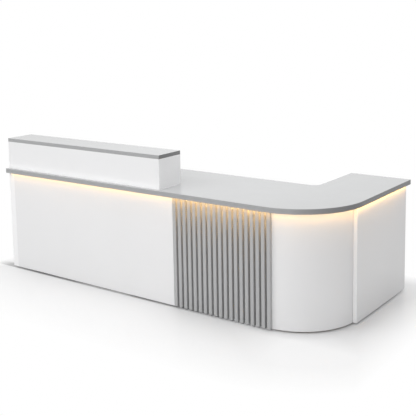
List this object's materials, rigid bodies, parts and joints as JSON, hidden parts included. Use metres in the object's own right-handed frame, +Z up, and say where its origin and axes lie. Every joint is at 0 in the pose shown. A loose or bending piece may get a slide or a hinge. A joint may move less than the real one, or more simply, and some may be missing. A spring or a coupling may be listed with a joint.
{
  "type": "reception desk",
  "caption": "L-shaped reception desk with a raised counter, fluted front, rounded corner, lit overhang, drawer pedestal and return cabinet.",
  "frame": {"origin": "on the floor, under the middle of the worktop's outline", "axes": "+X along the public front towards the return, +Y from the public front to the staff side, +Z up"},
  "size_m": [2.68, 1.16, 0.985],
  "materials": {
    "white_lacquer": "high-gloss white lacquer on board",
    "grey_laminate": "satin to gloss grey laminate on board",
    "grey_fluting": "matt grey lacquer on wooden ribs",
    "dark_backing": "matt grey lacquer on board",
    "raw_board": "raw plywood",
    "white_melamine": "white melamine on board",
    "drawer_board": "pale grey melamine on board",
    "steel": "nickel-plated steel",
    "zinc_steel": "zinc-plated steel",
    "anodised": "satin anodised",
    "tape": "flexible circuit tape",
    "diffuser": "frosted diffuser",
    "driver_case": "moulded case",
    "lead_sheath": "moulded sheath",
    "lock_chrome": "polished",
    "foot_black": "moulded pad on a stem"
  },
  "bodies": {
    "desk": {"worktop_upper_board": "grey_laminate", "worktop_lower_board": "grey_laminate", "counter_front": "white_lacquer", "counter_left_end": "white_lacquer", "counter_right_end": "white_lacquer", "counter_dividers": "white_lacquer", "counter_top": "grey_laminate", "left_gable": "white_lacquer", "front_panel": "white_lacquer", "flute_backing_board": "dark_backing", "flute_ribs": "grey_fluting", "curved_corner_panel": "white_lacquer", "corner_formers": "raw_board", "return_side_panel": "white_lacquer", "return_inner_gable": "white_melamine", "return_end_gable": "white_melamine", "return_bottom_board": "white_melamine", "return_shelf": "white_melamine", "shelf_pins": "steel", "cabinet_hinge_leaves": "steel", "hinge_pins": "steel", "led_channels": "anodised", "led_tapes": "tape", "led_diffusers": "diffuser", "led_driver": "driver_case", "led_lead": "lead_sheath", "pedestal_left_gable": "white_melamine", "pedestal_right_gable": "white_melamine", "pedestal_bottom_board": "white_melamine", "pedestal_lock_rail": "white_melamine", "runner_cabinet_members": "zinc_steel", "worktop_brackets": "steel", "bracket_screws": "steel"},
    "door_a": {"return_door_a": "white_lacquer", "door_a_hinge_leaves": "steel"},
    "door_b": {"return_door_b": "white_lacquer", "door_b_hinge_leaves": "steel"},
    "drawer_top": {"drawer_front_top": "white_lacquer", "drawer_box_top": "drawer_board", "runner_drawer_top": "zinc_steel"},
    "drawer_middle": {"drawer_front_middle": "white_lacquer", "drawer_box_middle": "drawer_board", "runner_drawer_middle": "zinc_steel"},
    "drawer_bottom": {"drawer_front_bottom": "white_lacquer", "drawer_box_bottom": "drawer_board", "runner_drawer_bottom": "zinc_steel"},
    "runner_middle_top": {"runner_middle_top": "zinc_steel"},
    "runner_middle_middle": {"runner_middle_middle": "zinc_steel"},
    "runner_middle_bottom": {"runner_middle_bottom": "zinc_steel"},
    "drawer_lock": {"drawer_lock": "lock_chrome"},
    "foot_left_front": {"foot_left_front": "foot_black"},
    "foot_left_rear": {"foot_left_rear": "foot_black"},
    "foot_pedestal_left_front": {"foot_pedestal_left_front": "foot_black"},
    "foot_pedestal_left_rear": {"foot_pedestal_left_rear": "foot_black"},
    "foot_pedestal_right_front": {"foot_pedestal_right_front": "foot_black"},
    "foot_pedestal_right_rear": {"foot_pedestal_right_rear": "foot_black"},
    "foot_corner": {"foot_corner": "foot_black"},
    "foot_return_inner": {"foot_return_inner": "foot_black"},
    "foot_return_end": {"foot_return_end": "foot_black"}
  },
  "joints": [
    {"name": "drawer_top_slide", "type": "slide", "parent": "desk", "child": "drawer_top", "axis": [0, 1, 0], "range_m": [0, 0.45]},
    {"name": "runner_top_slide", "type": "slide", "parent": "desk", "child": "runner_middle_top", "axis": [0, 1, 0], "range_m": [0, 0.225]},
    {"name": "drawer_middle_slide", "type": "slide", "parent": "desk", "child": "drawer_middle", "axis": [0, 1, 0], "range_m": [0, 0.45]},
    {"name": "runner_middle_slide", "type": "slide", "parent": "desk", "child": "runner_middle_middle", "axis": [0, 1, 0], "range_m": [0, 0.225]},
    {"name": "drawer_bottom_slide", "type": "slide", "parent": "desk", "child": "drawer_bottom", "axis": [0, 1, 0], "range_m": [0, 0.45]},
    {"name": "runner_bottom_slide", "type": "slide", "parent": "desk", "child": "runner_middle_bottom", "axis": [0, 1, 0], "range_m": [0, 0.225]},
    {"name": "drawer_lock_turn", "type": "hinge", "parent": "drawer_top", "child": "drawer_lock", "pos_m": [0.016, 0.063, 0.6655], "axis": [0, -1, 0], "range_deg": [0, 90]},
    {"name": "door_a_hinge", "type": "hinge", "parent": "desk", "child": "door_a", "pos_m": [0.928, 0.064, 0.36], "axis": [0, 0, 1], "range_deg": [0, 105]},
    {"name": "door_b_hinge", "type": "hinge", "parent": "desk", "child": "door_b", "pos_m": [0.928, 0.539, 0.36], "axis": [0, 0, -1], "range_deg": [0, 105]},
    {"name": "foot_left_front_screw", "type": "slide", "parent": "desk", "child": "foot_left_front", "axis": [0, 0, -1], "range_m": [0, 0.012]},
    {"name": "foot_left_rear_screw", "type": "slide", "parent": "desk", "child": "foot_left_rear", "axis": [0, 0, -1], "range_m": [0, 0.012]},
    {"name": "foot_pedestal_left_front_screw", "type": "slide", "parent": "desk", "child": "foot_pedestal_left_front", "axis": [0, 0, -1], "range_m": [0, 0.012]},
    {"name": "foot_pedestal_left_rear_screw", "type": "slide", "parent": "desk", "child": "foot_pedestal_left_rear", "axis": [0, 0, -1], "range_m": [0, 0.012]},
    {"name": "foot_pedestal_right_front_screw", "type": "slide", "parent": "desk", "child": "foot_pedestal_right_front", "axis": [0, 0, -1], "range_m": [0, 0.012]},
    {"name": "foot_pedestal_right_rear_screw", "type": "slide", "parent": "desk", "child": "foot_pedestal_right_rear", "axis": [0, 0, -1], "range_m": [0, 0.012]},
    {"name": "foot_corner_screw", "type": "slide", "parent": "desk", "child": "foot_corner", "axis": [0, 0, -1], "range_m": [0, 0.012]},
    {"name": "foot_return_inner_screw", "type": "slide", "parent": "desk", "child": "foot_return_inner", "axis": [0, 0, -1], "range_m": [0, 0.012]},
    {"name": "foot_return_end_screw", "type": "slide", "parent": "desk", "child": "foot_return_end", "axis": [0, 0, -1], "range_m": [0, 0.012]}
  ],
  "couplings": [
    {"joint": "runner_top_slide", "follows": "drawer_top_slide", "ratio": 0.5},
    {"joint": "runner_middle_slide", "follows": "drawer_middle_slide", "ratio": 0.5},
    {"joint": "runner_bottom_slide", "follows": "drawer_bottom_slide", "ratio": 0.5}
  ]
}
